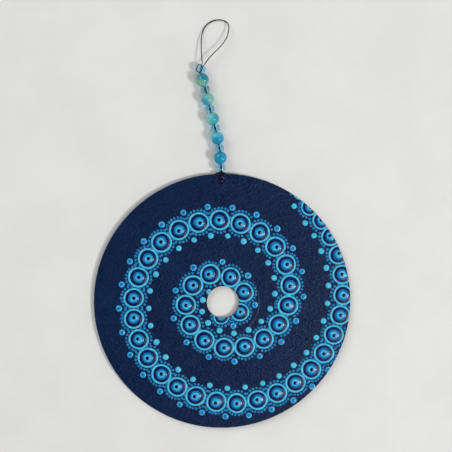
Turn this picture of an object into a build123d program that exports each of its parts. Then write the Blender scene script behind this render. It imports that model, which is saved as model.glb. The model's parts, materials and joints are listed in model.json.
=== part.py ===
from build123d import *
import os
from math import cos, pi, radians, sin, sqrt, tan

# Evil eye ornament: a compact disc covered in dot-painted eyes, hung by its rim on a beaded cord.
# It lies flat with the painted face up, and the beaded strand runs away from the rim.
# Origin: centre of the hub hole at the disc's back face. +Z leaves the painted face, and +Y
# points from the hub to the rim hole that carries the strand. Sizes are in millimetres.

# ---------------------------------------------------------------- the disc
disc_radius = 60.0
disc_thickness = 1.2
hub_hole_radius = 7.5
stacking_ring_radius = 16.8  # middle of the raised ring that keeps stacked discs apart
stacking_ring_width = 0.8
stacking_ring_height = 0.2
rim_hole_slack = 0.15  # round the row of cords that passes through the hole drilled at the rim
rim_hole_inset = 3.4  # from the rim to the middle of the hole
strand_offset = -0.95  # the rim hole sits a little left of the Y axis

# ---------------------------------------------------------------- the paint
coat_thickness = 0.1
coat_setback = 0.1  # bare edge at the rim and the hub hole
eye_radius = 4.75
eye_height = 0.25
iris_radius = 2.8
iris_height = 0.2
eye_gap = 0.33  # between neighbouring eyes along the spiral
# The spiral's radius grows with its angle in radians: r = g0 + g1 a + g2 a^2 + ...
spiral_centre = (1.19, 1.49)
spiral_start = -1.978
spiral_growth = (9.19, 1.458, 0.5032, -0.03984, 0.001094)

# ---------------------------------------------------------------- the cord
cord_diameter = 0.55
cord_gap = 0.04  # between cords that lie side by side, and off the faces they lie on
bore_clearance = 0.06  # between the pair of cords and a stone's bore
turn_count = 4  # turns of the tie, through the rim hole and over the rim
turn_spread = 1.03  # from one turn to the next where they cross the rim
turn_bend = 0.3  # radius of the turns' corners
knot_radius = 0.75  # outside of the round knot that the strand leaves
knot_overhang = 0.8  # from the rim out to the knot's middle, or further where the turns need it
knot_gap = 0.02  # from the knot to the turns
knot_cord_gap = 0.05  # from the knot to the cords that leave it
bend_gap = 0.1  # from a bend in the strand to the cord's end on either side
side_turn_gap = 0.04  # from the top seed bead to the turn of cord round its side
loop_rise = 1.0  # from the top seed bead's end to the bend at the loop's foot
loop_bend_gap = 0.3
loop_spread = 0.75  # sideways, from the strand's axis to the loop's right-hand leg
# The cord's two ends beside the knot, as corners measured from the row of turns where it crosses
# the rim: they lie over the outer turns and down onto the paint
left_tail = ((-0.95, -0.20, 0.53), (-1.55, -0.30, 0.40), (-2.35, -0.50, 0.12), (-3.00, -0.90, 0.02))
right_tail = ((0.95, -0.20, 0.53), (1.45, -0.35, 0.40), (1.75, -1.00, 0.02))
tail_bend = 0.3
# The hanging loop's route, measured from the bend at its foot: up the left leg, over, and back
loop_route = (
    (-0.36, 0.33, 0.00),
    (-0.58, 3.40, -0.20),
    (-0.82, 7.46, -0.95),
    (-0.71, 11.88, -1.90),
    (0.00, 15.51, -2.55),
    (2.04, 18.42, -2.70),
    (5.34, 20.47, -2.70),
    (8.93, 20.65, -2.40),
    (11.72, 18.67, -1.70),
    (11.90, 15.04, -1.00),
    (10.63, 11.15, -0.55),
    (7.82, 7.57, -0.40),
    (4.95, 4.95, -0.35),
    (2.60, 2.33, -0.20),
    (1.15, 0.30, 0.00),
)

# ---------------------------------------------------------------- the beads
stone_radius = 3.0
seed_radius = 2.0
seed_shoulder = 0.9  # radius of the rounding at either end
seed_length = 3.0
seed_bore_radius = 0.75
bead_gap = 0.07  # between neighbouring beads, on the strand's axis
knot_seat_gap = 0.13  # from the knot to the mouth of the first seed bead, which sits over it
link_leans = (4.0, 11.0, 16.0, 13.0, 17.0)  # degrees left of +Y, from the disc upwards
top_lean = -16.0  # the top seed bead's own lean

# ---------------------------------------------------------------- sizes that follow
cord_radius = cord_diameter / 2
cord_pitch = cord_diameter + cord_gap
stone_bore_radius = cord_pitch / 2 + cord_radius + bore_clearance
link_length = bead_gap + seed_length + bead_gap + 2 * stone_radius
coat_top = disc_thickness + coat_thickness
turn_bottom = -cord_gap - cord_radius
turn_top = coat_top + cord_gap + cord_radius
rest_height = turn_bottom - cord_radius - cord_gap  # of the surface that everything lies on
strand_height = rest_height + stone_radius
row_half = (turn_count - 1) / 2 * cord_pitch  # from the middle cord of the hole's row to the last
rim_hole_radius = row_half + cord_radius + cord_gap + rim_hole_slack
rim_hole = Vector(strand_offset, disc_radius - rim_hole_inset)
rim_crossing = Vector(strand_offset, disc_radius + cord_gap + cord_radius, turn_top)
eye_step = 2 * eye_radius + eye_gap
top_gap = cord_diameter + 2 * side_turn_gap  # room for the cord between stone and top seed bead
knot_seat = sqrt(max((knot_radius + knot_seat_gap) ** 2 - seed_bore_radius**2, 0))
# The knot's round outline clears the two middle turns, which pass to its left and right
knot_reach = turn_bend + sqrt((knot_radius + knot_gap + cord_radius) ** 2 - (turn_spread / 2) ** 2)
knot_rise = strand_height - turn_top + turn_bend
knot_clear = cord_gap + cord_radius - turn_bend + sqrt(max(knot_reach**2 - knot_rise**2, 0))
knot_middle = Vector(strand_offset, disc_radius + max(knot_overhang, knot_clear), strand_height)


def along(lean):
    """Unit vector up the strand, lean degrees left of +Y."""
    return Vector(-sin(radians(lean)), cos(radians(lean)))


def across(lean):
    """Unit vector to the right of that one."""
    return Vector(cos(radians(lean)), sin(radians(lean)))


def bend_radii(points, share=0.45):
    """Radius of each corner's arc: as large as the shorter of its two runs allows."""
    runs = [b - a for a, b in zip(points, points[1:])]
    return [
        share * min(a.length, b.length) / tan(radians(a.get_angle(b)) / 2)
        for a, b in zip(runs, runs[1:])
    ]


def finish(piece, label):
    """Labels a finished piece and writes it."""
    piece.part.label = label
    export_step(piece.part, f"parts/{label}.step")


def add_cord(points, radii=()):
    """Sweeps the cord along straight runs joined by tangent arcs; a radius for every point closes it."""
    closed = len(radii) == len(points)
    start, heading = points[0], points[1] - points[0]
    if closed:
        start = start + heading / 2
    with BuildLine() as route:
        if closed:
            FilletPolyline(start, *points[1:], points[0], radius=[0, *radii], close=True)
        elif radii:
            FilletPolyline(*points, radius=radii)
        else:
            Line(*points)
    with BuildSketch(Plane(start, z_dir=heading)) as section:
        Circle(cord_radius)
    sweep(section.sketch, path=route.wires()[0])


# ---------------------------------------------------------------- the spiral of eyes
def spiral_point(angle):
    radius = sum(g * angle**power for power, g in enumerate(spiral_growth))
    return Vector(*spiral_centre) + radius * Vector(cos(angle), sin(angle))


def spiral_places():
    """Middles of the eyes, equal steps apart, from the hub to the first one past the rim."""
    angle = spiral_start
    places = [spiral_point(angle)]
    while places[-1].length < disc_radius:
        turn = eye_step / places[-1].length
        for _ in range(6):
            turn *= eye_step / (spiral_point(angle + turn) - places[-1]).length
        angle += turn
        places.append(spiral_point(angle))
    return [p for p in places if (p - rim_hole).length > eye_radius + rim_hole_inset]


eye_places = [(p.X, p.Y) for p in spiral_places()]

os.makedirs("parts", exist_ok=True)

# ---------------------------------------------------------------- disc
with BuildPart() as disc:
    with BuildSketch():
        Circle(disc_radius)
        Circle(hub_hole_radius, mode=Mode.SUBTRACT)
        with Locations(rim_hole):
            Circle(rim_hole_radius, mode=Mode.SUBTRACT)
    extrude(amount=disc_thickness)
    with BuildSketch():
        Circle(stacking_ring_radius + stacking_ring_width / 2)
        Circle(stacking_ring_radius - stacking_ring_width / 2, mode=Mode.SUBTRACT)
    extrude(amount=-stacking_ring_height)
finish(disc, "disc")

# ---------------------------------------------------------------- navy coat
with BuildPart() as navy_coat:
    with BuildSketch(Plane.XY.offset(disc_thickness)):
        Circle(disc_radius - coat_setback)
        Circle(hub_hole_radius + coat_setback, mode=Mode.SUBTRACT)
        with Locations(rim_hole):
            Circle(rim_hole_radius, mode=Mode.SUBTRACT)
    extrude(amount=coat_thickness)
finish(navy_coat, "navy_coat")


# ---------------------------------------------------------------- painted eyes
def paint_dots(radius, bottom, height):
    """One raised dot of paint on each eye's middle, cut off at the rim and at the hub hole."""
    with BuildPart() as dots:
        with BuildSketch(Plane.XY.offset(bottom)):
            with Locations(*eye_places):
                Circle(radius)
            Circle(disc_radius - coat_setback, mode=Mode.INTERSECT)
            Circle(hub_hole_radius + coat_setback, mode=Mode.SUBTRACT)
        extrude(amount=height)
    return dots


finish(paint_dots(eye_radius, coat_top, eye_height), "eye_dots")
finish(paint_dots(iris_radius, coat_top + eye_height, iris_height), "iris_dots")


# ---------------------------------------------------------------- tie: cord turns at the rim
def turn_corners(number):
    """One turn's corners: out over the painted face, down past the rim, back below, up the hole."""
    side = (number - (turn_count - 1) / 2) * cord_pitch
    inset = sqrt((row_half + rim_hole_slack) ** 2 - side**2)
    foot = rim_hole + Vector(side, -inset)
    head = Vector(strand_offset + side * turn_spread / cord_pitch, rim_crossing.Y)
    top, bottom = Vector(0, 0, turn_top), Vector(0, 0, turn_bottom)
    return [foot + top, head + top, head + bottom, foot + bottom]


with BuildPart() as tie:
    for number in range(turn_count):
        add_cord(turn_corners(number), [turn_bend] * 4)
    for tail in (left_tail, right_tail):
        corners = [rim_crossing + Vector(*corner) for corner in tail]
        add_cord(corners, [tail_bend] * (len(corners) - 2))
finish(tie, "tie")

# ---------------------------------------------------------------- knot
with BuildPart() as knot:
    with Locations(knot_middle):
        Sphere(knot_radius)
finish(knot, "knot")


# ---------------------------------------------------------------- beads
def seed_bead(middle, lean, label):
    """A glass seed bead: a short round-shouldered barrel, bored along the strand."""
    with BuildPart() as seed:
        with BuildSketch(Plane(middle, x_dir=across(lean), z_dir=(0, 0, 1))):
            with BuildLine():
                ends = ((seed_bore_radius, -seed_length / 2), (seed_bore_radius, seed_length / 2))
                sides = ((seed_radius, -seed_length / 2), (seed_radius, seed_length / 2))
                FilletPolyline(ends[0], *sides, ends[1], radius=seed_shoulder)
                Line(*ends)
            make_face()
        revolve(axis=Axis(middle, along(lean)))
    finish(seed, label)


def stone_bead(middle, lean, label):
    """A round stone bead, drilled along the strand."""
    with BuildPart(Plane(middle, z_dir=along(lean))) as stone:
        Sphere(stone_radius)
        Cylinder(stone_bore_radius, 2 * stone_radius, mode=Mode.SUBTRACT)
    finish(stone, label)


# ---------------------------------------------------------------- the strand
# Each link is a seed bead, a stone bead and the pair of cords through both. It bends at its foot.
feet = [knot_middle + along(link_leans[0]) * (knot_seat - bead_gap / 2)]
for number, lean in enumerate(link_leans, 1):
    foot = feet[-1]
    seed_middle = foot + along(lean) * (bead_gap / 2 + seed_length / 2)
    stone_middle = foot + along(lean) * (bead_gap * 1.5 + seed_length + stone_radius)
    seed_bead(seed_middle, lean, f"seed_{number}")
    stone_bead(stone_middle, lean, f"stone_{number}")
    feet.append(foot + along(lean) * link_length)

last_lean = link_leans[-1]
top_corner = feet[-1] + along(last_lean) * (top_gap - bead_gap) / 2
top_seed_middle = top_corner + along(top_lean) * (top_gap / 2 + seed_length / 2)
loop_foot = top_seed_middle + along(top_lean) * (seed_length / 2 + loop_rise)
seed_bead(top_seed_middle, top_lean, f"seed_{len(link_leans) + 1}")

for number, lean in enumerate(link_leans[:-1], 1):
    start = feet[number - 1] + along(lean) * bend_gap
    if number == 1:
        start = knot_middle + along(lean) * (knot_radius + knot_cord_gap)
    end = feet[number] - along(lean) * bend_gap
    with BuildPart() as link_cords:
        for side in (-cord_pitch / 2, cord_pitch / 2):
            add_cord([start + across(lean) * side, end + across(lean) * side])
    finish(link_cords, f"strand_cord_{number}")

# The last link's cords run on through the top seed bead to the loop. The left one also takes a turn
# round the outside of that bead, which holds it.
leg_end = loop_foot - along(top_lean) * loop_bend_gap
seed_side = seed_radius + side_turn_gap + cord_radius
seed_over = seed_length / 2 + side_turn_gap + cord_radius


def beside_top_seed(up, left):
    return top_seed_middle + along(top_lean) * up - across(top_lean) * left


with BuildPart() as last_cords:
    for side, spread in ((-cord_pitch / 2, cord_pitch / 2), (cord_pitch / 2, loop_spread)):
        start = feet[-2] + along(last_lean) * bend_gap + across(last_lean) * side
        corner = top_corner + across(last_lean) * side
        mouth = beside_top_seed(seed_length / 2, -side)
        end = leg_end + across(top_lean) * (spread if side > 0 else side)
        route = [start, corner, mouth, end] if side > 0 else [start, corner, end]
        add_cord(route, bend_radii(route, share=0.12))
    side_turn = [
        beside_top_seed(-seed_over, cord_pitch / 2),
        beside_top_seed(-seed_over, seed_side),
        beside_top_seed(seed_over, seed_side),
        beside_top_seed(seed_over, cord_pitch / 2),
    ]
    add_cord(side_turn, [seed_shoulder + side_turn_gap + cord_radius] * 2)
finish(last_cords, f"strand_cord_{len(link_leans)}")

# ---------------------------------------------------------------- hanging loop
loop_points = [loop_foot + Vector(*point) for point in loop_route]
loop_radii = bend_radii(loop_points)
with BuildPart() as hanging_loop:
    add_cord(loop_points, loop_radii)
finish(hanging_loop, "hanging_loop")

print("loop radii", [round(r, 2) for r in loop_radii])
print("loop volume over section", round(hanging_loop.part.volume / (pi * cord_radius**2), 2))
print("knot middle", knot_middle)
print("leans", list(link_leans), "top lean", top_lean)
print("feet", feet)
print("loop foot", loop_foot)
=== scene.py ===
"""Evil eye ornament: a painted disc with a spiral of eyes and a strand of beads tied to its rim, lying
on a pale table with the painted face up. Sizes are in metres, apart from the spiral of eyes and the
tie, which are laid out in millimetres and scaled by MM at the end."""

import json
import math
import random

import bpy
import numpy as np
from mathutils import Matrix, Vector


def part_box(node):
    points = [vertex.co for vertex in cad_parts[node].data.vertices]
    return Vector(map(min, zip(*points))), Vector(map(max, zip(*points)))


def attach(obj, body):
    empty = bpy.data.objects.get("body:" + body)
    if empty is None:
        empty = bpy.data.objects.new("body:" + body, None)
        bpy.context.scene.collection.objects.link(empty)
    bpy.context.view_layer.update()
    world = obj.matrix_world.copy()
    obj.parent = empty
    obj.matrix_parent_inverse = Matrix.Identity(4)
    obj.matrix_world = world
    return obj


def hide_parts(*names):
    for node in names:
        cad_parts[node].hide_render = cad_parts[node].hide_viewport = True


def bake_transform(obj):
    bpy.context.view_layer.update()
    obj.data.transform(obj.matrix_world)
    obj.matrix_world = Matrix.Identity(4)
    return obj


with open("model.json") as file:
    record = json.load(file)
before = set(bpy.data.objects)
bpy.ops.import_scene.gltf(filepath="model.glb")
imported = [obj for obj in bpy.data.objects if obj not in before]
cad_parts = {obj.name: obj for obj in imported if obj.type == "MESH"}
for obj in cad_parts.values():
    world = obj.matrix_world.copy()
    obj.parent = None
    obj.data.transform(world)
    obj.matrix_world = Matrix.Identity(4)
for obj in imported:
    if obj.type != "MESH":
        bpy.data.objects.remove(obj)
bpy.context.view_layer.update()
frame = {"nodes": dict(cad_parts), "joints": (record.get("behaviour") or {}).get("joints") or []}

MM = 0.001
rng = random.Random(7)
nodes = frame["nodes"]
joints = {joint["name"]: joint for joint in frame["joints"]}


def place_of(joint):
    return Vector(joints[joint]["pos_m"])


# ---------------------------------------------------------------- sizes that the sections share
coat_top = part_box("navy_coat")[1].z
disc_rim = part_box("navy_coat")[1].x  # radius of the painted face
hub_edge = 7.6 * MM  # radius where the painted face ends at the hub hole
floor_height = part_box("stone_1")[0].z
cord_radius = 0.275 * MM
cord_rest = 0.315  # mm from a surface to the middle of the cord that lies on it

# ---------------------------------------------------------------- camera
view_width = 210.6 * MM
camera_distance = 450 * MM
look_at = Vector((1.4, 35.6, 0)) * MM
lean_up, lean_side = math.radians(-4.65), math.radians(-2.43)
camera_data = bpy.data.cameras.new("camera")
camera_data.sensor_width = 36.0
camera_data.lens = camera_data.sensor_width * camera_distance / view_width
camera = bpy.data.objects.new("camera", camera_data)
turned = Matrix.Rotation(lean_up, 3, "X") @ Matrix.Rotation(lean_side, 3, "Y")
camera.matrix_world = Matrix.Translation(look_at + turned.col[2] * camera_distance) @ turned.to_4x4()
bpy.context.scene.collection.objects.link(camera)
bpy.context.scene.camera = camera


# ---------------------------------------------------------------- materials
def srgb(red, green, blue):
    """Linear colour of an sRGB one given in 0-255."""

    def linear(c):
        c /= 255
        return c / 12.92 if c <= 0.04045 else ((c + 0.055) / 1.055) ** 2.4

    return (linear(red), linear(green), linear(blue), 1.0)


class Shader:
    """A material with one Principled shader, and short calls for its nodes. Scales are per metre."""

    def __init__(self, name, **constants):
        self.material = bpy.data.materials.new(name)
        self.material.use_nodes = True
        self.tree = self.material.node_tree
        self.bsdf = self.tree.nodes["Principled BSDF"]
        for key, value in constants.items():
            self.bsdf.inputs[key.replace("_", " ")].default_value = value
        self.place = self.node("TexCoord").outputs["Object"]

    def node(self, kind, inputs=None, **settings):
        made = self.tree.nodes.new("ShaderNode" + kind)
        for key, value in settings.items():
            setattr(made, key, value)
        for key, value in (inputs or {}).items():
            if isinstance(value, bpy.types.NodeSocket):
                self.tree.links.new(value, made.inputs[key])
            else:
                made.inputs[key].default_value = value
        return made

    def noise(self, scale, detail=2.0, roughness=0.5, place=None, distortion=0.0):
        inputs = {
            "Vector": place or self.place,
            "Scale": scale,
            "Detail": detail,
            "Roughness": roughness,
            "Distortion": distortion,
        }
        return self.node("TexNoise", inputs).outputs["Fac"]

    def cells(self, scale, feature="SMOOTH_F1", place=None):
        made = self.node("TexVoronoi", {"Vector": place or self.place, "Scale": scale}, feature=feature)
        return made.outputs["Distance"]

    def math(self, operation, a, b=0.0, c=0.0):
        return self.node("Math", {0: a, 1: b, 2: c}, operation=operation).outputs[0]

    def step(self, value, low, high, to_low=0.0, to_high=1.0):
        """A smooth step between to_low and to_high, as the value goes from low to high."""
        inputs = {
            "Value": value,
            "From Min": low,
            "From Max": high,
            "To Min": to_low,
            "To Max": to_high,
        }
        return self.node("MapRange", inputs, interpolation_type="SMOOTHSTEP").outputs["Result"]

    def ramp(self, value, *stops):
        made = self.node("ValToRGB", {"Fac": value})
        ramp = made.color_ramp
        ramp.interpolation = "EASE"
        while len(ramp.elements) < len(stops):
            ramp.elements.new(0.5)
        for element, (position, colour) in zip(ramp.elements, stops):
            element.position, element.color = position, colour
        return made.outputs["Color"]

    def mix(self, factor, a, b):
        """Colour a giving way to b. The node's sockets 0, 6 and 7 are the factor and the two colours."""
        return self.node("Mix", {0: factor, 6: a, 7: b}, data_type="RGBA").outputs[2]

    def bump(self, height, distance, strength=1.0, normal=None):
        inputs = {"Height": height, "Distance": distance, "Strength": strength}
        if normal:
            inputs["Normal"] = normal
        return self.node("Bump", inputs).outputs["Normal"]

    def across(self):
        """Distance from the Z axis, and the three separate coordinates."""
        split = self.node("SeparateXYZ", {"Vector": self.place}).outputs
        square = [self.math("MULTIPLY", split[a], split[a]) for a in ("X", "Y")]
        return self.math("SQRT", self.math("ADD", *square)), split

    def to(self, **sockets):
        for key, value in sockets.items():
            self.tree.links.new(value, self.bsdf.inputs[key.replace("_", " ")])
        return self.material


def navy_paint():
    """Satin paint over a primer with a fine leathery grain, and the disc's stacking ring under it."""
    ring_radius = 16.8 * MM
    s = Shader("navy_paint", IOR=1.4, Specular_IOR_Level=0.25)
    broad = s.noise(45, 3.0, 0.55)
    base = s.ramp(broad, (0.3, srgb(0, 23, 59)), (0.55, srgb(0, 27, 63)), (0.75, srgb(4, 34, 72)))
    dust = s.step(s.noise(2600, 1.0, 0.4), 0.70, 0.78)
    base = s.mix(s.math("MULTIPLY", dust, 0.5), base, srgb(66, 104, 150))
    flecks = s.step(s.cells(620, "F1"), 0.10, 0.05)
    rare = s.step(s.noise(160, 1.0), 0.58, 0.70)
    base = s.mix(s.math("MULTIPLY", flecks, rare), base, srgb(44, 92, 150))
    radius, _ = s.across()
    offset = s.math("ABSOLUTE", s.math("SUBTRACT", radius, ring_radius))
    ridge = s.step(offset, 0.55 * MM, 0.1 * MM)
    # The paint is lighter in patches along the stacking ring's ridge.
    lighter_on_ridge = s.math("MULTIPLY", ridge, s.step(s.noise(120, 2.0), 0.35, 0.65, 0.1, 0.5))
    base = s.mix(lighter_on_ridge, base, srgb(52, 70, 100))
    brushed = {"Vector": s.place, "Rotation": (0, 0, 0.6), "Scale": (1.0, 1.7, 1.0)}
    stretched = s.node("Mapping", brushed).outputs["Vector"]
    grain = s.math("ADD", s.cells(900, place=stretched), s.noise(1300, 3.0, 0.6, stretched))
    bumped = s.bump(grain, 0.16 * MM)
    bumped = s.bump(ridge, 0.1 * MM, 0.9, bumped)
    rough = s.step(s.noise(300, 2.0), 0.3, 0.7, 0.27, 0.35)
    return s.to(Base_Color=base, Roughness=rough, Normal=bumped)


def dot_paint(name, colour, shade, light, gloss=0.3, rough=0.25):
    """Thick paint that dries glossy: uneven in colour at the scale of a drop, with a faint grain."""
    s = Shader(name, IOR=1.45, Specular_IOR_Level=gloss)
    uneven = s.noise(520, 2.0, 0.6)
    base = s.ramp(uneven, (0.28, shade), (0.5, colour), (0.74, light))
    rough = s.step(s.noise(900, 2.0), 0.3, 0.7, rough - 0.05, rough + 0.05)
    return s.to(Base_Color=base, Roughness=rough, Normal=s.bump(s.noise(1400, 2.0), 0.02 * MM, 0.5))


def bare_disc():
    """The moulded disc: painted edge, clear hub, mirror band, silver data side with a painted rainbow
    sheen, clear rim.
    """
    mirror_start, data_start, mirror_end = 19.0 * MM, 23.05 * MM, 58.45 * MM
    s = Shader("bare_disc", IOR=1.58, Coat_Weight=1.0, Coat_Roughness=0.03)
    radius, split = s.across()
    # The data side's rainbow is a painted reflection: fans of hue round the hub, put into its base colour.
    angle = s.math("ARCTAN2", split["Y"], split["X"])
    fans = s.node("CombineXYZ", {"X": s.math("COSINE", angle), "Y": s.math("SINE", angle)})
    streak = s.noise(1.6, 2.0, 0.55, fans.outputs[0])
    hue = s.math("FRACT", s.math("MULTIPLY_ADD", radius, 26.0, s.math("MULTIPLY", streak, 4.0)))
    painted_rainbow = s.node("CombineColor", {"Red": hue, "Green": 0.55, "Blue": 0.86}, mode="HSV").outputs[0]
    painted_rainbow_share = s.step(streak, 0.42, 0.66, 0.08, 0.62)
    silver = s.mix(painted_rainbow_share, srgb(196, 200, 206), painted_rainbow)
    rings = s.node("CombineXYZ", {"X": s.math("MULTIPLY", radius, 1600.0)}).outputs[0]
    tracks = s.noise(1.0, 2.0, 0.7, rings)
    silver = s.mix(s.math("MULTIPLY", tracks, 0.25), silver, srgb(120, 128, 140))
    inside = s.step(radius, mirror_end + 0.15 * MM, mirror_end - 0.15 * MM)
    data = s.step(radius, data_start - 0.15 * MM, data_start + 0.15 * MM)
    data = s.math("MULTIPLY", data, inside)
    band = s.step(radius, mirror_start - 0.1 * MM, mirror_start + 0.1 * MM)
    band = s.math("MULTIPLY", band, inside)
    through = s.ramp(s.noise(60, 3.0), (0.3, srgb(26, 44, 80)), (0.7, srgb(48, 70, 110)))
    base = s.mix(band, through, srgb(176, 182, 190))
    base = s.mix(data, base, silver)
    # Paint that ran over the edges of the upper face
    wavy = s.math("MULTIPLY_ADD", s.noise(260, 2.0), 0.5 * MM, split["Z"])
    painted = s.step(wavy, 0.95 * MM, 1.05 * MM)
    base = s.mix(painted, base, srgb(17, 33, 68))
    metal = s.math("MULTIPLY", band, s.math("SUBTRACT", 1.0, painted))
    rough = s.step(s.noise(220, 3.0), 0.3, 0.7, 0.10, 0.2)
    rough = s.math("MULTIPLY_ADD", painted, 0.3, rough)
    drawn_out = s.node("Mapping", {"Vector": s.place, "Scale": (90, 2600, 90)}).outputs["Vector"]
    scratch = s.noise(1.0, 2.0, 0.6, drawn_out)
    return s.to(Base_Color=base, Metallic=metal, Roughness=rough, Normal=s.bump(scratch, 0.004 * MM, 0.4))


def cord_fibre():
    """Waxed violet-black cord with a fuzz of fibres, and painted lilac glints in small spots."""
    s = Shader("waxed_cord", IOR=1.45, Specular_IOR_Level=0.18)
    fuzz = s.noise(5200, 3.0, 0.6)
    painted_glint_spots = s.noise(1300, 2.0, 0.5)
    base = s.ramp(fuzz, (0.3, srgb(3, 0, 16)), (0.55, srgb(9, 4, 34)), (0.8, srgb(30, 20, 76)))
    # Painted highlight: small lilac spots in the base colour stand in for the cord's glints.
    base = s.mix(s.step(painted_glint_spots, 0.60, 0.68, 0.0, 0.75), base, srgb(112, 96, 176))
    rough = s.step(s.noise(2400, 2.0), 0.3, 0.7, 0.22, 0.42)
    return s.to(Base_Color=base, Roughness=rough, Normal=s.bump(fuzz, 0.03 * MM, 0.7))


def seed_glass():
    """Clear aqua glass, deeper in colour where it is thicker."""
    s = Shader("seed_glass", IOR=1.38, Transmission_Weight=1.0)
    swirl = s.noise(420, 2.0, 0.5, distortion=0.6)
    base = s.ramp(swirl, (0.3, srgb(232, 248, 254)), (0.6, srgb(246, 252, 255)), (0.8, srgb(255, 255, 255)))
    rough = s.step(s.noise(900, 2.0), 0.3, 0.7, 0.0, 0.04)
    inside = s.node("VolumeAbsorption", {"Color": (0.02, 0.78, 1.0, 1.0), "Density": 360.0})
    s.tree.links.new(inside.outputs["Volume"], s.tree.nodes["Material Output"].inputs["Volume"])
    return s.to(Base_Color=base, Roughness=rough, Normal=s.bump(s.noise(500, 1.0), 0.01 * MM, 0.3))


def stone(name, number, low_colour, high_colour, heading, level, cloudy):
    """Polished two-tone stone: one glaze runs into the other along the heading, with faint veins."""
    blur = 1.7 * MM  # half the length over which the glazes mix
    s = Shader(name, IOR=1.5, Specular_IOR_Level=0.12, Coat_Weight=0.6, Coat_Roughness=0.13)
    low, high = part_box(f"stone_{number}")
    middle = (low + high) / 2
    local = s.node("Mapping", {"Vector": s.place, "Location": -middle}).outputs["Vector"]
    turned = s.node("Mapping", {"Vector": local, "Rotation": (0.4, 0.3, -heading)}).outputs["Vector"]
    split = s.node("SeparateXYZ", {"Vector": turned}).outputs
    drift = s.noise(190, 3.0, 0.55, local, 0.7)
    height = s.math("MULTIPLY_ADD", s.math("SUBTRACT", drift, 0.5), 5.0 * MM, split["X"])
    blend = s.step(height, level - blur, level + blur)
    base = s.mix(blend, low_colour, high_colour)
    cloud = s.step(s.noise(420, 3.0, 0.6, local, 0.5), 0.45, 0.72)
    base = s.mix(s.math("MULTIPLY", cloud, cloudy), base, srgb(140, 200, 196))
    crossing = s.math("SUBTRACT", s.noise(300, 3.0, 0.6, turned, 1.2), 0.5)
    vein = s.step(s.math("ABSOLUTE", crossing), 0.03, 0.0)
    base = s.mix(s.math("MULTIPLY", vein, 0.14), base, srgb(4, 96, 124))
    rough = s.step(s.noise(700, 2.0), 0.3, 0.7, 0.18, 0.25)
    return s.to(Base_Color=base, Roughness=rough, Normal=s.bump(s.noise(800, 2.0), 0.012 * MM, 0.35))


def paint_over(node, material):
    """Give a CAD node one material all over."""
    mesh = nodes[node].data
    mesh.materials.clear()
    mesh.materials.append(material)


navy = navy_paint()
light_blue = dot_paint("light_blue_paint", srgb(70, 179, 215), srgb(56, 166, 208), srgb(96, 196, 224))
dome_navy = dot_paint("dome_navy_paint", srgb(3, 28, 74), srgb(2, 13, 50), srgb(7, 46, 94), 0.28, 0.28)
iris_blue = dot_paint("iris_blue_paint", srgb(6, 108, 172), srgb(2, 92, 156), srgb(18, 130, 192), 0.4, 0.22)
pale_blue = dot_paint("pale_blue_paint", srgb(54, 166, 212), srgb(38, 148, 200), srgb(90, 192, 224), 0.4)
pupil_black = dot_paint("pupil_paint", srgb(4, 10, 42), srgb(2, 4, 26), srgb(8, 20, 60), 0.4, 0.22)
bead_blue = dot_paint("border_dot_paint", srgb(14, 114, 172), srgb(10, 100, 158), srgb(32, 136, 192))
mid_blue = dot_paint("notch_core_paint", srgb(4, 108, 184), srgb(2, 94, 170), srgb(20, 130, 200))
cord_black = cord_fibre()
glass = seed_glass()

paint_over("navy_coat", navy)
paint_over("disc", bare_disc())
for number in range(1, 7):
    paint_over(f"seed_{number}", glass)
# Each stone's two colours, the heading from the first to the second in degrees, where they meet in
# millimetres from its middle, and how cloudy it is
stone_colours = (
    ((0, 138, 174), (0, 128, 164), 100, 0.0, 0.03),
    ((0, 130, 172), (84, 182, 198), 112, -0.7, 0.10),
    ((0, 142, 160), (116, 188, 190), 165, -1.0, 0.10),
    ((6, 148, 178), (116, 174, 164), 45, -1.0, 0.12),
    ((122, 174, 144), (0, 124, 148), 68, -1.3, 0.10),
)
for number, (low_colour, high_colour, heading, level, cloudy) in enumerate(stone_colours, 1):
    colours = srgb(*low_colour), srgb(*high_colour)
    heading = math.radians(heading)
    glaze = stone(f"stone_{number}_glaze", number, *colours, heading, level * MM, cloudy)
    paint_over(f"stone_{number}", glaze)


# ---------------------------------------------------------------- pieces
def add_piece(name, points, faces, materials, body, slots=None):
    """A smooth mesh piece from points in metres, riding on a CAD body."""
    mesh = bpy.data.meshes.new(name)
    mesh.from_pydata([tuple(p) for p in points], [], faces)
    for material in materials:
        mesh.materials.append(material)
    mesh.polygons.foreach_set("use_smooth", [True] * len(mesh.polygons))
    if slots is not None:
        mesh.polygons.foreach_set("material_index", slots)
    mesh.validate()
    mesh.update()
    piece = bpy.data.objects.new(name, mesh)
    bpy.context.scene.collection.objects.link(piece)
    if body:
        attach(piece, body)
    return piece


# ---------------------------------------------------------------- the hanging loop
loop_foot = place_of("loop_fold")
# The loop's route, measured from the bend at its foot, in millimetres
loop_route = (
    (-0.36, 0.33, 0.00),
    (-0.58, 3.40, -0.20),
    (-0.82, 7.46, -0.95),
    (-0.71, 11.88, -1.90),
    (0.00, 15.51, -2.55),
    (1.90, 18.20, -2.70),
    (5.00, 20.00, -2.70),
    (8.95, 20.15, -2.40),
    (11.72, 18.67, -1.70),
    (11.90, 15.04, -1.00),
    (10.63, 11.15, -0.55),
    (7.82, 7.57, -0.40),
    (4.95, 4.95, -0.35),
    (2.60, 2.33, -0.20),
    (1.15, 0.30, 0.00),
)


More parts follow.
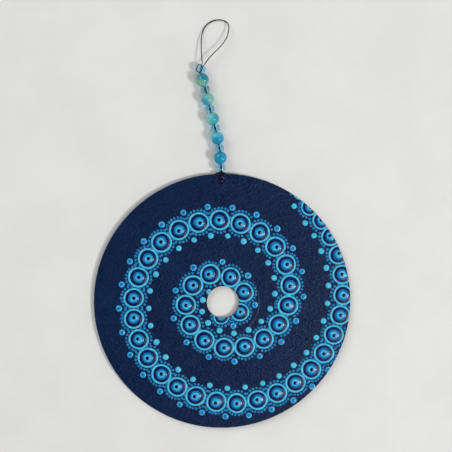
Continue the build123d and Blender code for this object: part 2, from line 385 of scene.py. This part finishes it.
def spline_points(points, resolution):
    """Points along the smooth NURBS line that has the given control points."""
    curve = bpy.data.curves.new("line", "CURVE")
    curve.dimensions = "3D"
    spline = curve.splines.new("NURBS")
    spline.points.add(len(points) - 1)
    for point, corner in zip(spline.points, points):
        point.co = (*corner, 1.0)
    spline.order_u = 3
    spline.use_endpoint_u = True
    spline.resolution_u = resolution
    holder = bpy.data.objects.new("line", curve)
    line = bpy.data.meshes.new_from_object(holder)
    found = [Vector(v.co) for v in line.vertices]
    bpy.data.objects.remove(holder)
    bpy.data.meshes.remove(line)
    bpy.data.curves.remove(curve)
    return found


def even_steps(points, step):
    """The same line in equal steps."""
    lengths = np.array([0.0] + [(b - a).length for a, b in zip(points, points[1:])]).cumsum()
    count = max(2, round(lengths[-1] / step) + 1)
    wanted = np.linspace(0.0, lengths[-1], count)
    columns = [np.interp(wanted, lengths, [p[axis] for p in points]) for axis in range(3)]
    return [Vector(p) for p in zip(*columns)]


def twine(name, paths, body, radius=cord_radius, step=0.16 * MM, taper=()):
    """Three-ply twisted cord along each path. A path's far end comes to a blunt tip if its number, from
    1, is in taper, and its near end if minus its number is."""
    pitch, sides = 2.3 * MM, 12
    tip_rings, tip_scale = 3, 0.45
    points, faces = [], []
    for number, path in enumerate(paths, 1):
        path = even_steps(path, step)
        heading = (path[1] - path[0]).normalized()
        side = heading.orthogonal().normalized()
        first = len(points)
        phase = 0.9 * (number - 1)
        for index, place in enumerate(path):
            ahead = path[min(index + 1, len(path) - 1)] - path[max(index - 1, 0)]
            ahead.normalize()
            side = (side - ahead * side.dot(ahead)).normalized()
            up = ahead.cross(side)
            turn = phase + 2 * math.pi * index * step / pitch
            near = min(index, tip_rings) / tip_rings if -number in taper else 1.0
            far = min(len(path) - 1 - index, tip_rings) / tip_rings if number in taper else 1.0
            scale = tip_scale + (1 - tip_scale) * math.sqrt(min(near, far))
            for k in range(sides):
                angle = 2 * math.pi * k / sides
                reach = radius * scale * (0.9 + 0.1 * math.cos(3 * (angle - turn)))
                points.append(place + (side * math.cos(angle) + up * math.sin(angle)) * reach)
        for ring in range(len(path) - 1):
            for k in range(sides):
                a, b = first + ring * sides + k, first + ring * sides + (k + 1) % sides
                faces.append((a, b, b + sides, a + sides))
        faces.append(tuple(first + k for k in reversed(range(sides))))
        faces.append(tuple(first + (len(path) - 1) * sides + k for k in range(sides)))
    return add_piece(name, points, faces, [cord_black], body)


loop_line = spline_points([loop_foot + Vector(p) * MM for p in loop_route], resolution=24)
hanging_loop = twine("hanging_cord", [loop_line], "hanging_loop", radius=0.255 * MM)
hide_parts("hanging_loop")

# ---------------------------------------------------------------- the spiral of eyes, in millimetres
eye_count, eye_radius, eye_gap = 48, 4.75, 0.351
eye_step = 2 * eye_radius + eye_gap
spiral_centre = Vector((1.144, 1.453))
spiral_start = -1.944  # angle of the first eye
spiral_growth = (8.641, 1.590, 0.4998, -0.04064, 0.00114)
# The row wanders near the hub: by how much, from which angle, how it fades, and its wave
stray, stray_from, stray_fade, stray_wave, stray_phase = 1.93, -1.978, 0.1756, 1.585, 1.103
# The steps shorten at either end of the row: by which share, and how fast that fades
hub_crowding, hub_crowding_fade = 0.0474, 0.23
rim_crowding, rim_crowding_reach = 0.42, 2
# The eyes at either end are smaller too: by which share, and over how many eyes
first_shrink, first_shrink_reach = 0.23, 1.2
last_shrink, last_shrink_reach = 0.27, 2.2
first_eye_shift = Vector((0.77, -1.84))  # it sits clear of the hole's edge
last_eye_reach = 1.048  # nearly all of it is past the rim


def spiral_point(angle):
    """Middle of an eye at an angle round the spiral, kept from passing the rim."""
    radius = sum(g * angle**power for power, g in enumerate(spiral_growth))
    fade = math.exp(stray_fade * (stray_from - angle))
    radius += stray * fade * math.cos(stray_wave * angle + stray_phase)
    place = spiral_centre + radius * Vector((math.cos(angle), math.sin(angle)))
    return place * min(1.0, disc_rim / MM / place.length)


def spiral_places():
    """Middles of the eyes, from the hub outwards; the last few sit on the rim, which cuts them."""
    angle = spiral_start
    places = [spiral_point(angle)]
    while len(places) < eye_count:
        crowding = hub_crowding * math.exp(-hub_crowding_fade * (len(places) - 1))
        crowding += rim_crowding * math.exp((len(places) - eye_count) / rim_crowding_reach)
        step = eye_step * (1 - crowding)
        turn = step / places[-1].length
        for _ in range(6):  # closes in on the turn that gives this step
            turn *= step / (spiral_point(angle + turn) - places[-1]).length
        angle += turn
        places.append(spiral_point(angle))
    places[0] += first_eye_shift
    places[-1] *= last_eye_reach
    return places


def eye_size(number):
    """Size of the eye with this number, from 0, as a share of a full one."""
    first = first_shrink * math.exp(-number / first_shrink_reach)
    last = last_shrink * math.exp((number + 1 - eye_count) / last_shrink_reach)
    return 1 - first - last


class Drops:
    """Domed drops of paint, gathered into one mesh. Each is turned from a profile of (radius, height,
    slot) in millimetres, is a little out of round, and is cut where the painted face ends. Paint laid
    on paint lands a little off centre: each layer is (its radius, how much it shifts), and its shift
    is whole up to half that radius and fades out past it."""

    def __init__(self):
        self.points, self.faces, self.slots = [], [], []

    def add(self, middle, profile, spokes, wobble, layers, size):
        rows, cut = [], set()
        shifts = [(reach, Vector((rng.gauss(0, by), rng.gauss(0, by)))) for reach, by in layers]
        phases = [rng.uniform(0, 2 * math.pi) for _ in range(3)]
        for k in range(spokes):
            angle = 2 * math.pi * k / spokes
            waves = (wobble / n * math.sin((n + 1) * angle + phase) for n, phase in enumerate(phases, 1))
            stretch = (1 + sum(waves)) * size
            outwards = Vector((math.cos(angle), math.sin(angle)))
            row = []
            for radius, height, _ in profile:
                place = middle + radius * stretch * outwards
                for reach, shift in shifts:
                    place += shift * min(1.0, max(0.0, 1.6 - radius / reach * 1.2))
                edge = min(max(place.length, hub_edge / MM), disc_rim / MM)
                if edge != place.length:
                    cut.add(len(self.points))
                    place *= edge / place.length
                    height = min(height, 0.0)
                row.append(len(self.points))
                self.points.append(Vector((place.x, place.y, height)) * MM + Vector((0, 0, coat_top)))
            rows.append(row)
        for a, b in zip(rows, rows[1:] + rows[:1]):
            for i in range(len(profile) - 1):
                corners = (a[i], a[i + 1], b[i + 1], b[i]) if i else (a[0], a[1], b[1])
                if not cut.issuperset(corners):
                    self.faces.append(corners)
                    self.slots.append(profile[i + 1][2])

    def piece(self, name, materials, slot, *stands_for):
        """The gathered drops as one piece on the disc, without the points that no face uses."""
        used = sorted({v for face in self.faces for v in face})
        order = {v: n for n, v in enumerate(used)}
        faces = [tuple(order[v] for v in face) for face in self.faces]
        made = add_piece(name, [self.points[v] for v in used], faces, materials, "disc", self.slots)
        if stands_for:
            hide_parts(*stands_for)


# Height above the coat at each radius, from a drop's middle out; the last number picks the paint.
# In an eye: pupil, pale drop, iris, dark dome and the ring round it
eye_profile = (
    (0.00, 0.62, 4), (0.34, 0.61, 4), (0.62, 0.57, 4), (0.80, 0.52, 4), (0.88, 0.48, 4),
    (1.04, 0.50, 3), (1.34, 0.48, 3), (1.56, 0.45, 3), (1.68, 0.41, 3), (1.76, 0.38, 3),
    (1.94, 0.38, 2), (2.14, 0.34, 2), (2.34, 0.27, 2), (2.50, 0.20, 2), (2.56, 0.19, 2),
    (2.84, 0.21, 1), (3.14, 0.19, 1), (3.44, 0.14, 1), (3.72, 0.07, 1), (3.93, 0.04, 1),
    (3.99, 0.13, 0), (4.11, 0.20, 0), (4.38, 0.23, 0), (4.64, 0.20, 0), (4.79, 0.11, 0),
    (4.86, -0.03, 0),
)  # fmt: skip
eye_paints = [light_blue, dome_navy, iris_blue, pale_blue, pupil_black]
border_profile = ((0.00, 0.26, 0), (0.36, 0.25, 0), (0.56, 0.18, 0), (0.66, 0.07, 0), (0.69, -0.03, 0))
solid_profile = (
    (0.00, 0.33, 0), (0.56, 0.32, 0), (0.94, 0.28, 0),
    (1.20, 0.20, 0), (1.33, 0.09, 0), (1.37, -0.03, 0),
)  # fmt: skip
cored_profile = (
    (0.00, 0.38, 1), (0.40, 0.37, 1), (0.66, 0.34, 1), (0.84, 0.28, 1),
    (0.96, 0.28, 0), (1.20, 0.22, 0), (1.40, 0.11, 0), (1.46, -0.03, 0),
)  # fmt: skip
# Each layer of an eye lands a little off the one below: pupil, pale drop, iris, dark dome
eye_layers = ((1.5, 0.25), (2.3, 0.13), (3.2, 0.14), (4.2, 0.12))

eye_places = spiral_places()
eye_sizes = [eye_size(number) for number in range(eye_count)]
eyes = Drops()
for middle, size in zip(eye_places, eye_sizes):
    jitter = Vector((rng.gauss(0, 0.05), rng.gauss(0, 0.05)))
    eyes.add(middle + jitter, eye_profile, 40, 0.015, eye_layers, size * rng.uniform(0.985, 1.01))
eyes.piece("painted_eyes", eye_paints, "eye_dots", "eye_dots", "iris_dots")

# Border dots follow each eye's outline on both sides of the chain, and one more sits deep in each
# notch between two eyes; past it there is a solid dot inside the spiral and a cored one outside
border_ring, border_step = 5.78, 1.63  # the dots' ring round an eye, and the step between them
border_clear, border_spacing = 0.5, 1.12  # least room to an eye's edge, and between middles
notch_lean = math.radians(41)  # the dots keep this far from the line to the next eye
last_eye_sweep = math.radians(250)
notch_in, notch_out, notch_stray = 1.95, 6.75, 0.1  # how far the notch dots sit from the chain
notch_clear = 1.0  # least room from a notch dot's middle to an eye's edge
border_dots, solid_dots, cored_dots = Drops(), Drops(), Drops()
placed = []


def on_face(place, margin):
    """Whether a place is on the painted face, or within a margin of it."""
    return hub_edge / MM - margin < place.length < disc_rim / MM + margin


def clear_of_eyes(place, room):
    """Whether a place keeps this much room to every eye's edge."""
    return all((place - p).length >= eye_radius * k + room for p, k in zip(eye_places, eye_sizes))


def add_border_dot(place):
    """A small dot, unless it would touch an eye, another dot or the face's edge."""
    near_dot = any((place - p).length < border_spacing for p in placed)
    if near_dot or not clear_of_eyes(place, border_clear) or not on_face(place, -0.1):
        return
    placed.append(place)
    jitter = Vector((rng.gauss(0, 0.06), rng.gauss(0, 0.06)))
    border_dots.add(place + jitter, border_profile, 12, 0.05, (), rng.uniform(0.9, 1.06))


for before, after, size in zip(eye_places, eye_places[1:], eye_sizes):
    centre = (before + after) / 2
    forward = (after - before).normalized()
    outward = Vector((forward.y, -forward.x))
    for side, profile, drops, spokes in (
        (outward, cored_profile, cored_dots, 20),
        (-outward, solid_profile, solid_dots, 18),
    ):
        add_border_dot(centre + side * notch_in)
        place = centre + side * rng.gauss(notch_out, notch_stray) * min(1.0, size + 0.05)
        if clear_of_eyes(place, notch_clear) and on_face(place, 1.2):
            drops.add(place, profile, spokes, 0.02, ((1.0, 0.08),), rng.uniform(0.93, 1.05))


def heading_to(index, other):
    """Angle of the line from one eye's middle to another's."""
    line = eye_places[other] - eye_places[index]
    return math.atan2(line.y, line.x)


def free_spans(index):
    """Angles round an eye, from and to, between which its outline isn't next to another eye."""
    if index == 0:
        after = heading_to(index, index + 1)
        return [(after - 2 * math.pi + notch_lean, after - notch_lean)]
    before = heading_to(index, index - 1)
    if index == eye_count - 1:
        return [(before + notch_lean, before + last_eye_sweep)]
    after = heading_to(index, index + 1)
    outer = (after - before) % (2 * math.pi)
    return [
        (before + notch_lean, before + outer - notch_lean),
        (after + notch_lean, after + 2 * math.pi - outer - notch_lean),
    ]


for index, middle in enumerate(eye_places):
    ring = border_ring - eye_radius * (1 - eye_sizes[index])  # follows the eye's size
    for start, end in free_spans(index):
        count = max(1, round((end - start) * ring / border_step))
        for k in range(count + 1):
            angle = start + (end - start) * k / count
            add_border_dot(middle + ring * Vector((math.cos(angle), math.sin(angle))))

border_dots.piece("border_dots", [bead_blue], "iris_dots")
solid_dots.piece("solid_notch_dots", [light_blue], "eye_dots")
cored_dots.piece("cored_notch_dots", [pale_blue, mid_blue], "eye_dots")

# ---------------------------------------------------------------- the tie at the rim, in millimetres
hole = Vector((-0.95, 56.6))
turn_count, turn_round = 4, 0.3  # turns through the hole, and how round their corners are
cord_pitch, turn_spread = 0.59, 0.74  # from turn to turn in the hole, and over the rim
turn_low = -cord_rest
turn_high = coat_top / MM + cord_rest
rim_out = 60 + cord_rest  # just past the disc's edge
foot_squeeze, turn_swell = 0.66, 0.42  # shares of a turn's place in the row
row_half = (turn_count - 1) / 2 * cord_pitch


def bent(corners, reach):
    """The line through corners in millimetres with each turn rounded, in metres."""
    corners = [Vector(c) for c in corners]
    found = [corners[0]]
    for a, b, c in zip(corners, corners[1:], corners[2:]):
        near, far = b + (a - b).normalized() * reach, b + (c - b).normalized() * reach
        for k in range(7):
            t = k / 6
            found.append(near * (1 - t) ** 2 + b * 2 * t * (1 - t) + far * t**2)
    return [p * MM for p in [*found, corners[-1]]]


def coil(middle, length, radius, count):
    """Wraps of cord side by side along X round a middle, and the core inside them, all in metres."""
    wraps = []
    steps = 28 * count
    for k in range(steps + 1):
        t = k / steps
        angle = 2 * math.pi * count * t
        reach = radius * (0.88 + 0.12 * math.sin(math.pi * t))
        around = (reach * math.cos(angle), reach * math.sin(angle))
        wraps.append(middle + Vector((length * (t - 0.5), *around)))
    core_shape = ((-0.62, -0.3), (0, 0), (0.62, -0.3))
    core = [middle + Vector((length * x, radius * y, 0)) for x, y in core_shape]
    return [wraps, core]


turns = []
for number in range(turn_count):
    side = (number - (turn_count - 1) / 2) * cord_pitch
    inset = math.sqrt((row_half + 0.15) ** 2 - side**2)  # the turns bear on the hole's round edge
    foot = Vector((hole.x + side * foot_squeeze, hole.y - inset))
    head = Vector((hole.x + side * turn_spread / cord_pitch, rim_out))
    # The turns swell outwards between the hole and the rim, so the tie has the outline of a drop
    swell = []
    for t in (0.2, 0.4, 0.6, 0.8):
        bulge = side * turn_swell * math.sin(math.pi * t)
        swell.append(foot.lerp(head, t) + Vector((bulge, 0)))
    middle = foot.lerp(head, 0.5)
    corners = [
        (*middle, turn_low),
        (*foot, turn_low),
        (*foot, turn_high),
        *((*p, turn_high) for p in swell),
        (*head, turn_high),
        (*head, turn_low),
        (*middle, turn_low),
    ]
    turns.append(bent(corners, turn_round))


def by_hole(*shape):
    """Points whose X is measured from the middle of the rim hole."""
    return [Vector((hole.x + x, y, z)) for x, y, z in shape]


# A hitch round the knot: over the turns inside the rim, then down and across outside it
hitch = by_hole(
    (-0.2, 59.72, 2.02),
    (-1.3, 59.8, 1.96),
    (-1.8, 60.2, 1.75),
    (-1.4, 60.55, 1.35),
    (0.0, 60.6, 1.25),
    (1.2, 60.55, 1.35),
    (1.55, 60.2, 1.75),
    (1.2, 59.8, 1.96),
    (-0.2, 59.72, 2.02),
)
left_tail = by_hole((-0.9, 59.0, 1.95), (-1.9, 59.8, 1.95), (-2.6, 60.0, 1.8), (-2.7, 59.6, 1.6))
left_place, right_place = by_hole((-1.8, 60.1, 1.72), (1.25, 60.05, 1.5))
left_stub = coil(left_place * MM, length=1.2 * MM, radius=0.32 * MM, count=3)
right_stub = coil(right_place * MM, length=0.7 * MM, radius=0.24 * MM, count=2)
lines = [*turns, bent(hitch, 0.4), *left_stub, *right_stub, bent(left_tail, 0.35)]
tie = twine("tie_cords", lines, "disc", taper=(len(lines),))
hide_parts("tie")

# ---------------------------------------------------------------- the knot
knot_middle = place_of("strand_swing")
knot_lines = coil(knot_middle, length=1.15 * MM, radius=0.38 * MM, count=3)
knot = twine("knot_cords", knot_lines, "knot", radius=0.27 * MM, taper=(1, -1, 2, -2))
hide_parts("knot")

# ---------------------------------------------------------------- the strand's cords
bends = ["strand_fold", "bend_2", "bend_3", "bend_4", "bend_5"]
feet = [place_of(bend) for bend in bends]
axes = [Vector(joints[f"seed_{number}_spin"]["axis"]) for number in range(1, 6)]
half_pitch = cord_pitch / 2 * MM
thin_cord = 0.22 * MM  # radius of a cord inside the beads
twist_radius, half_turns = 0.23 * MM, 6
bend_room = 0.1 * MM  # a link's cords end this far from the bend


def right_of(axis):
    """The direction to the right of a flat axis, seen from above."""
    return Vector((axis.y, -axis.x, 0))


def twisted(start, end):
    """Two lines that wind round each other between two points, and start and end side by side."""
    side = right_of((end - start).normalized())
    paths = []
    for sign in (-1, 1):
        paths.append([])
        for k in range(12 * half_turns + 1):
            angle = math.pi * k / 12
            place = start.lerp(end, k / (12 * half_turns))
            away = side * math.cos(angle) + Vector((0, 0, math.sin(angle)))
            paths[-1].append(place + away * sign * twist_radius)
    return paths


ends = []  # each link's cords as (first points, last points)
for number in range(1, 5):
    axis = axes[number - 1]
    start = feet[number - 1] + axis * (0.8 * MM if number == 1 else bend_room)  # clear of the knot
    end = feet[number] - axis * bend_room
    paths = twisted(start, end)
    cords = twine(f"link_{number}_cords", paths, f"link_{number}", radius=thin_cord)
    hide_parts(f"strand_cord_{number}")
    ends.append(([p[0] for p in paths], [p[-1] for p in paths]))

# The last link: through the top seed bead to the loop's foot, with a turn round that bead's side
axis = axes[4]
low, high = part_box("seed_6")
top_middle = (low + high) / 2
top_lean = math.radians(16)
top_axis = Vector((math.sin(top_lean), math.cos(top_lean), 0))
top_right = right_of(top_axis)
seed_half, seed_radius = 1.5 * MM, 2.0 * MM
top_corner = top_middle - top_axis * (seed_half + cord_rest * MM)
leg_end = loop_foot - top_axis * 0.3 * MM
paths = []
for side, spread in ((-half_pitch, -half_pitch), (half_pitch, 0.75 * MM)):
    start = feet[4] + axis * bend_room + right_of(axis) * side
    corner = top_corner + right_of(axis) * side
    mouth = top_middle + top_axis * seed_half + top_right * side
    end = leg_end + top_right * spread
    paths.append(bent([p / MM for p in (start, corner, mouth, end)], 0.4))
over, out = seed_half + 0.26 * MM, seed_radius + 0.24 * MM
side_turn = [
    top_middle + top_axis * up - top_right * left
    for up, left in ((-over, half_pitch), (-over, out), (over, out), (over, half_pitch))
]
paths.append(bent([p / MM for p in side_turn], 1.3))
last_cords = twine("link_5_cords", paths, "link_5", radius=thin_cord)
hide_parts("strand_cord_5")
ends.append(([paths[0][0], paths[1][0]], [paths[0][-1], paths[1][-1]]))


def bridge(name, first, second, starts, finishes, swapped=False):
    """Short lengths that carry both cords across the bend between two bodies. Swapped, the two bodies and
    their ends trade places, and nothing reads them after that."""
    paths = [[a, a.lerp(b, 0.5), b] for a, b in zip(starts, finishes)]
    made = twine(name, paths, None, radius=0.23 * MM, step=0.08 * MM)
    start, end = tuple(sum(starts, Vector()) / 2), tuple(sum(finishes, Vector()) / 2)
    if swapped:
        first, second, start, end = second, first, end, start
    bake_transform(made)


for number in range(1, 5):
    name, first, second = f"bend_{number + 1}_cords", f"link_{number}", f"link_{number + 1}"
    starts, finishes = ends[number - 1][1], ends[number][0]
    # Told from link_3's side, rounding throws the cords at bend_4 off in the all_min pose
    bridge(name, first, second, starts, finishes, swapped=number == 3)
bridge("loop_foot_cords", "link_5", "hanging_loop", ends[4][1], [loop_line[0], loop_line[-1]])
knot_face = knot_middle + axes[0] * 0.55 * MM
knot_side = [knot_face + right_of(axes[0]) * side for side in (-half_pitch, half_pitch)]
bridge("knot_neck_cords", "knot", "link_1", knot_side, ends[0][0])


# ---------------------------------------------------------------- table, light
def table_paint():
    """Matt off-white with a broad, faint mottle."""
    s = Shader("pale_table", Roughness=0.7)
    pale = s.ramp(s.noise(30, 3.0, 0.6), (0.3, srgb(219, 218, 215)), (0.7, srgb(224, 223, 221)))
    return s.to(Base_Color=pale, Normal=s.bump(s.noise(900, 2.0), 0.02 * MM, 0.3))


table_half = 3.0  # half the table's width
table_corners = [(x * table_half, y * table_half, 0) for x, y in ((-1, -1), (1, -1), (1, 1), (-1, 1))]
floor_mesh = bpy.data.meshes.new("table")
floor_mesh.from_pydata(table_corners, [], [(0, 1, 2, 3)])
floor_mesh.materials.append(table_paint())
table = bpy.data.objects.new("table", floor_mesh)
table.location = (0, 0, floor_height)
bpy.context.scene.collection.objects.link(table)
subject = Vector((0, 30 * MM, 0))


def lamp(name, power, size, offset):
    """A round lamp of a power in watts and a size across, at an offset from the subject it faces."""
    data = bpy.data.lights.new(name, "AREA")
    data.energy, data.size, data.shape = power, size, "DISK"
    made = bpy.data.objects.new(name, data)
    made.location = subject + Vector(offset)
    made.rotation_mode = "QUATERNION"
    made.rotation_quaternion = (-Vector(offset)).to_track_quat("-Z", "Y")
    bpy.context.scene.collection.objects.link(made)


lamp("key", power=17.8, size=0.36, offset=(1.18, -0.49, 1.25))
lamp("high_lamp", power=2.7, size=0.12, offset=(0.44, -0.40, 1.37))
lamp("fill", power=10.3, size=1.0, offset=(-0.90, 0.90, 0.90))

# The room: even light from the sides that falls away overhead
side_light, overhead_light = 0.84, 0.04
world = bpy.data.worlds.new("studio")
bpy.context.scene.world = world
world.use_nodes = True
tree = world.node_tree
directions = tree.nodes.new("ShaderNodeTexCoord")
split = tree.nodes.new("ShaderNodeSeparateXYZ")
tree.links.new(directions.outputs["Generated"], split.inputs[0])
fade = tree.nodes.new("ShaderNodeMapRange")
fade.inputs["To Min"].default_value = side_light
fade.inputs["To Max"].default_value = overhead_light
tree.links.new(split.outputs["Z"], fade.inputs["Value"])
background = tree.nodes["Background"]
background.inputs["Color"].default_value = (0.97, 0.99, 0.99, 1.0)
tree.links.new(fade.outputs["Result"], background.inputs["Strength"])

bpy.context.scene.view_settings.view_transform = "Standard"
